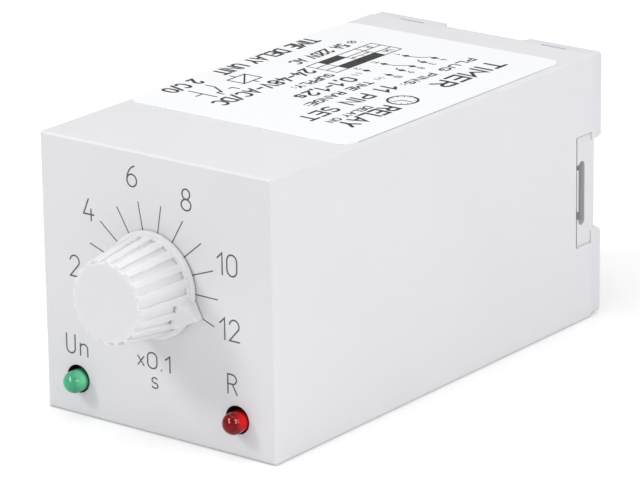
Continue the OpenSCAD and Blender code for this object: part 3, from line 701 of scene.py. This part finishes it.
def print_panel():
    dial = panel_print("dial_marks")
    for k in range(12):
        a = TICK_START + TICK_PITCH * k
        dial.line([on_dial(6.9, a), on_dial(10.8, a)], width=0.15)
    for number, radius, angle in DIAL_NUMBERS:
        x, z = on_dial(radius, angle)
        dial.text(number, x, z - DIAL_TEXT / 2, DIAL_TEXT, weight=0.21, centred=True)
    dial.build()

    legends = panel_print("panel_legends")
    for row in LEGENDS:
        legends.text(*row)
    legends.build()


print_panel()

# ------------------------------------------------------------------ label print
# The label reads toward -Y, with the tops of its letters toward +X. Its places are measured
# from the rear +X corner: first along the line of reading, then down the label, toward -X.
LABEL_CORNER = (20.6492, 1.1852, LABEL_TOP)
LABEL_FLATTEN = 0.00294694  # the label's ink is this much thinner than the rest
# text, start, baseline, height, width, stroke weight
LABEL_TEXT = (
    ("TIMER", 14.766, 10.857, 2.714, 13.571, 0.543),
    ("RELAY", 40.063, 9.771, 2.497, 10.314, 0.516),
    ("DELAY ON", 41.691, 11.617, 1.086, 8.686, 0.282),
    ("PLUG PINS:", 14.929, 14.223, 1.249, 15.743, 0.337),
    ("11 PIN SET", 32.137, 15.634, 2.28, 19.109, 0.461),
    ("TIME RANGE:", 32.191, 18.783, 1.303, 13.68, 0.337),
    ("0,1-1,2s", 32.137, 22.311, 2.171, 11.291, 0.461),
    ("SUPPLY:", 32.246, 25.297, 1.303, 7.926, 0.337),
    ("24-48V-AC/DC", 32.137, 29.423, 2.28, 19.977, 0.461),
    ("5A 220V AC", 19.109, 33.223, 1.846, 11.509, 0.391),
    ("TIME DELAY", 19.38, 38.651, 2.28, 14.223, 0.489),
    ("UNIT", 35.286, 38.651, 2.28, 5.211, 0.489),
    ("2 C/O", 44.84, 38.651, 2.28, 6.406, 0.489),
)


class LabelPrint(Print):
    """Ink on the label; the methods below take places as (along, down)."""

    def __init__(self, name):
        super().__init__(
            name, "ink_label", LABEL_CORNER, (0, -1, 0), (1, 0, 0), thick=0.012,
            flatten=LABEL_FLATTEN,
        )

    def rule(self, weight, *points):
        self.line([(x, -y) for x, y in points], weight)

    def fill(self, *points):
        self.plate([(x, -y) for x, y in points])

    def box(self, x0, y0, x1, y1):
        self.fill((x0, y1), (x1, y1), (x1, y0), (x0, y0))

    def dot(self, x, y, radius=0.461):
        self.plate(arc(x, -y, radius, radius, 0, 336, 14))

    def note(self, text, x, base, height, weight):
        self.text(text, x, -base, height, weight, centred=True)


def draw_clock(ink):
    x, y = 36.697, 9.337
    ink.ring(x, -y, radius=2.063, weight=0.353)
    ink.rule(0.271, (x, y), (x, 7.817))
    ink.rule(0.271, (x, y), (37.837, 9.989))
    for k in range(12):
        a = math.radians(30 * k)
        ink.rule(0.141, *((x + r * math.cos(a), y + r * math.sin(a)) for r in (1.52, 1.791)))


def draw_contacts(ink):
    for number, x in (("4", 17.534), ("3", 20.086), ("8", 22.637), ("9", 25.08), ("10", 27.903)):
        ink.note(number, x, 17.046, height=0.923, weight=0.185)
        ink.rule(0.261, (x, 17.371), (x, 18.891))
        ink.dot(x, 18.131)
    for number, x in (("1", 18.891), ("11", 23.886), ("2", 27.903)):
        ink.note(number, x, 23.94, height=0.923, weight=0.185)
        ink.dot(x, 21.931)
        ink.rule(0.261, (x, 21.28), (x, 22.583))
    # moving arms, then the tips they leave
    ink.rule(0.261, (18.891, 21.497), (18.62, 20.194), (17.697, 19.0))
    ink.rule(0.261, (23.886, 21.497), (23.669, 20.194), (22.8, 19.0))
    ink.rule(0.244, (20.086, 18.891), (19.651, 19.326))
    ink.rule(0.244, (25.08, 18.891), (24.646, 19.326))
    ink.note("(+)", 30.074, 18.566, height=0.977, weight=0.157)
    ink.note("(-)", 30.074, 22.366, height=0.977, weight=0.157)


def draw_chart(ink):
    left, divide, right = 16.34, 20.086, 30.943
    top, middle, bottom = 24.591, 26.437, 29.803
    on, off = 24.211, 28.446
    arrow = 27.306
    for y in (top, middle, 28.174, bottom):
        ink.rule(0.228, (left, y), (right, y))
    for x in (left, divide, right):
        ink.rule(0.228, (x, top), (x, bottom))
    for x in (on, off):
        ink.rule(0.185, (x, middle), (x, bottom))
        ink.rule(0.185, (x, top), (x, middle))
    ink.box(divide, 24.7, off, 26.383)
    ink.box(on, 28.283, off, 29.749)
    # double-headed arrow
    ink.rule(0.168, (20.629, arrow), (23.777, arrow))
    ink.fill((on, arrow), (23.451, 26.98), (23.451, 27.631))
    ink.fill((20.14, arrow), (20.9, 27.631), (20.9, 26.98))
    ink.note("Un", 18.186, 26.057, height=1.086, weight=0.195)
    ink.note("R", 18.186, 29.531, height=1.086, weight=0.195)
    ink.note("t", 22.149, 27.143, height=0.597, weight=0.13)


def draw_lamp(ink):
    ink.ring(17.48, -32.354, radius=0.597, weight=0.185)
    ink.rule(0.185, (17.046, 31.92), (17.914, 32.789))
    ink.rule(0.185, (17.046, 32.789), (17.914, 31.92))


def draw_coil(ink):
    left, middle, right = 38.651, 40.551, 42.451
    top, bottom = 31.486, 34.417
    ink.rule(0.282, (left, top), (right, top), (right, bottom), (left, bottom), (left, top))
    ink.rule(0.25, (left, bottom), (right, top))
    ink.rule(0.282, (middle, 30.509), (middle, top))
    ink.rule(0.282, (middle, bottom), (middle, 35.503))


def draw_changeover(ink):
    weight, top, bottom = 0.304, 30.509, 35.286
    ink.rule(weight, (45.926, bottom), (45.926, 33.766), (47.337, 31.377))
    ink.rule(weight, (44.731, top), (44.731, 31.703), (45.383, 31.703))
    ink.rule(weight, (47.989, top), (47.989, 31.703), (47.337, 31.703))
    ink.rule(weight, (49.509, top), (49.509, bottom))
    ink.rule(weight, (49.509, 32.897), (50.92, 32.897))


def print_label():
    lettering = LabelPrint("label_text")
    for text, x, base, height, width, weight in LABEL_TEXT:
        lettering.text(text, x, -base, height, weight, width)
    lettering.build()

    diagrams = LabelPrint("label_diagrams")
    for draw in (draw_clock, draw_contacts, draw_chart, draw_lamp, draw_coil, draw_changeover):
        draw(diagrams)
    diagrams.build()


def print_label_edge():
    """Painted shadow: a grey strip stands for the shade that the film's edge casts on the housing,
    along its +X side.
    """
    low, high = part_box("label")
    x, start, end = high.x / MM - 0.005, low.y / MM + 2.4, high.y / MM - 2.4
    ink = Print(
        "label_edge", "label_shadow_paint", (0, 0, LABEL_FOOT), (1, 0, 0), (0, 1, 0), thick=0.012
    )
    steps = 12
    for k in range(steps):
        a, b = (start + (end - start) * i / steps for i in (k, k + 1))
        width = 0.13 - 0.016 * max(0, k - 6)  # narrows toward the back
        ink.plate([(x, a), (x + width, a), (x + width, b), (x, b)])
    ink.build()


def print_pin_numbers():
    """Numbers round the plug, clockwise from the bottom seen from behind."""
    ink = Print("pin_numbers", "ink_pins", (0, 0, 0), (-1, 0, 0), (0, 0, 1), thick=0.012)
    pins, radius, height = 11, 12.0, 1.2
    for k in range(1, pins + 1):
        a = math.radians((k - 0.5) * 360 / pins)
        x, base = -radius * math.sin(a), -radius * math.cos(a) - height / 2
        ink.text(str(k), x, base, height, weight=0.17, centred=True)
    ink.build()


print_label()
print_label_edge()
print_pin_numbers()

# ------------------------------------------------------------------ inside the lamps
# radius, distance in front of the panel
CUP_PROFILE = (
    (0.35, -1.6), (0.35, -0.6), (0.75, 0.1), (0.70, 0.12), (0.25, -0.25), (0.05, -0.25),
)
CUP_Z = -14.04


def lathe(name, profile, centre, material, steps=24):
    """A turned piece about a line along Y through centre (x, z)."""
    verts, faces = [], []
    for radius, ahead in profile:
        for px, pz in arc(*centre, radius, radius, 0, 360, steps)[:-1]:
            verts.append((px * MM, (FRONT - ahead) * MM, pz * MM))
    last = (len(profile) - 1) * steps
    for ring in range(0, last, steps):
        for i in range(steps):
            j = (i + 1) % steps
            faces.append([ring + i, ring + j, ring + steps + j, ring + steps + i])
    faces.append(list(range(steps)))
    faces.append([last + i for i in range(steps)][::-1])
    made = add_object(name, verts, faces, material)
    for face in made.data.polygons:
        face.use_smooth = True
    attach(made, "case")


for tag, x in (("green", -13.45), ("red", 13.2)):
    lathe(f"led_{tag}_cup", CUP_PROFILE, (x, CUP_Z), mats[f"{tag}_core"])

# ------------------------------------------------------------------ floor


def floor_paper():
    s = Shader("floor_paper")
    path = s.add("LightPath").outputs
    s.feed(
        s.bsdf,
        Base_Color=s.mix(s.noise(scale=3.0), (0.90, 0.90, 0.90), (0.93, 0.93, 0.93)),
        Roughness=0.9,
        # a little paper glow, for the camera only
        Emission_Strength=s.span(path["Is Camera Ray"], to=(0, 0.14), over=(0, 1)),
        Emission_Color=(1, 1, 1, 1),
        Specular_IOR_Level=0.1,
    )
    # seen from below, the paper is clear, and it passes light up into the hair-thin gap
    # under the part
    backfacing = s.add("NewGeometry").outputs["Backfacing"]
    near = s.span(path["Ray Length"], to=(1, 0), over=(0.5 * MM, 0.6 * MM))
    indirect = s.span(path["Is Camera Ray"], to=(1, 0), over=(0, 1))
    clear = s.math("MAXIMUM", s.times(near, indirect), backfacing)
    both = s.add("MixShader")
    sources = (clear, s.bsdf.outputs[0], s.add("BsdfTransparent").outputs[0])
    for source, socket in zip(sources, both.inputs):
        s.put(source, socket)
    s.put(both.outputs[0], s.out.inputs[0])
    return s.material


def add_floor(half=3.0):
    """A square of paper; half its side is in metres."""
    corners = ((-half, -half), (half, -half), (half, half), (-half, half))
    verts = [(x, y, FLOOR * MM) for x, y in corners]
    add_object("floor", verts, [(0, 1, 2, 3)], floor_paper())


add_floor()

# ------------------------------------------------------------------ light, in metres and watts
PART_CENTRE = (0, -0.04, 0)
LAMPS_CENTRE = (0.0, -0.0746, -0.014)

world = bpy.data.worlds.new("studio")
bpy.context.scene.world = world
world.use_nodes = True
background = world.node_tree.nodes["Background"]
background.inputs["Color"].default_value = (1, 1, 1, 1)
background.inputs["Strength"].default_value = 0.44


def area(name, place, size, power, target=PART_CENTRE, length=None):
    light = bpy.data.lights.new(name, "AREA")
    light.energy = power
    light.shape = "RECTANGLE"
    light.size = size
    light.size_y = length or size
    made = bpy.data.objects.new(name, light)
    bpy.context.scene.collection.objects.link(made)
    made.location = place
    aim = (Vector(target) - Vector(place)).normalized()
    made.rotation_euler = aim.to_track_quat("-Z", "Y").to_euler()
    return made


def streak(name, low, high):
    """A long narrow light between two points, mirrored as an upright streak on each lamp."""
    low, high, target = Vector(low), Vector(high), Vector(LAMPS_CENTRE)
    middle = (low + high) / 2
    length = (high - low).length
    made = area(name, middle, size=0.20, power=6.0, target=target, length=length)
    along = (high - low).normalized()
    back = (middle - target).normalized()
    back = (back - along * back.dot(along)).normalized()
    made.rotation_euler = Matrix((along.cross(back), along, back)).transposed().to_euler()
    made.visible_diffuse = False
    made.visible_transmission = False
    made.light_linking.receiver_collection = lamps_only


lamps_only = bpy.data.collections.new("lamps_only")
for name in ("led_green", "led_red"):
    lamps_only.objects.link(nodes[name])
for soft_light in (
    area("key", (-0.40, -0.48, 0.44), size=0.18, power=1.78),
    area("fill_a", (-0.035, -0.70, 0.36), size=0.16, power=0.34),
    area("fill_b", (0.54, -0.48, 0.36), size=0.16, power=0.22),
):
    soft_light.visible_glossy = False
streak("streak_a", low=(-0.060, -0.850, 0.200), high=(-0.345, -0.400, 0.630))
streak("streak_b", low=(0.660, -0.450, 0.215), high=(0.420, -0.150, 0.660))
area("side", (0.62, 0.00, 0.34), size=0.40, power=1.78)
area("top", (0.0, 0.02, 0.70), size=0.60, power=1.95)

# ------------------------------------------------------------------ camera, in metres
CAMERA_PLACE = (0.3277, -0.4615, 0.1725)
CAMERA_RIGHT = (0.79268, 0.60950, -0.01349)
CAMERA_FORWARD = (-0.58294, 0.75129, -0.30943)


def add_camera():
    camera = bpy.data.cameras.new("camera")
    camera.sensor_width = 36
    camera.sensor_fit = "HORIZONTAL"
    camera.lens = 235.43
    camera.clip_start = 0.01
    camera.clip_end = 20
    made = bpy.data.objects.new("camera", camera)
    bpy.context.scene.collection.objects.link(made)
    forward = Vector(CAMERA_FORWARD).normalized()
    up = Vector(CAMERA_RIGHT).normalized().cross(forward).normalized()
    right = forward.cross(up).normalized()
    pose = Matrix((right, up, -forward)).transposed().to_4x4()
    pose.translation = Vector(CAMERA_PLACE)
    made.matrix_world = pose
    bpy.context.scene.camera = made


add_camera()

view = bpy.context.scene.view_settings
view.view_transform = "Standard"
view.look = "None"
view.exposure = 0.0
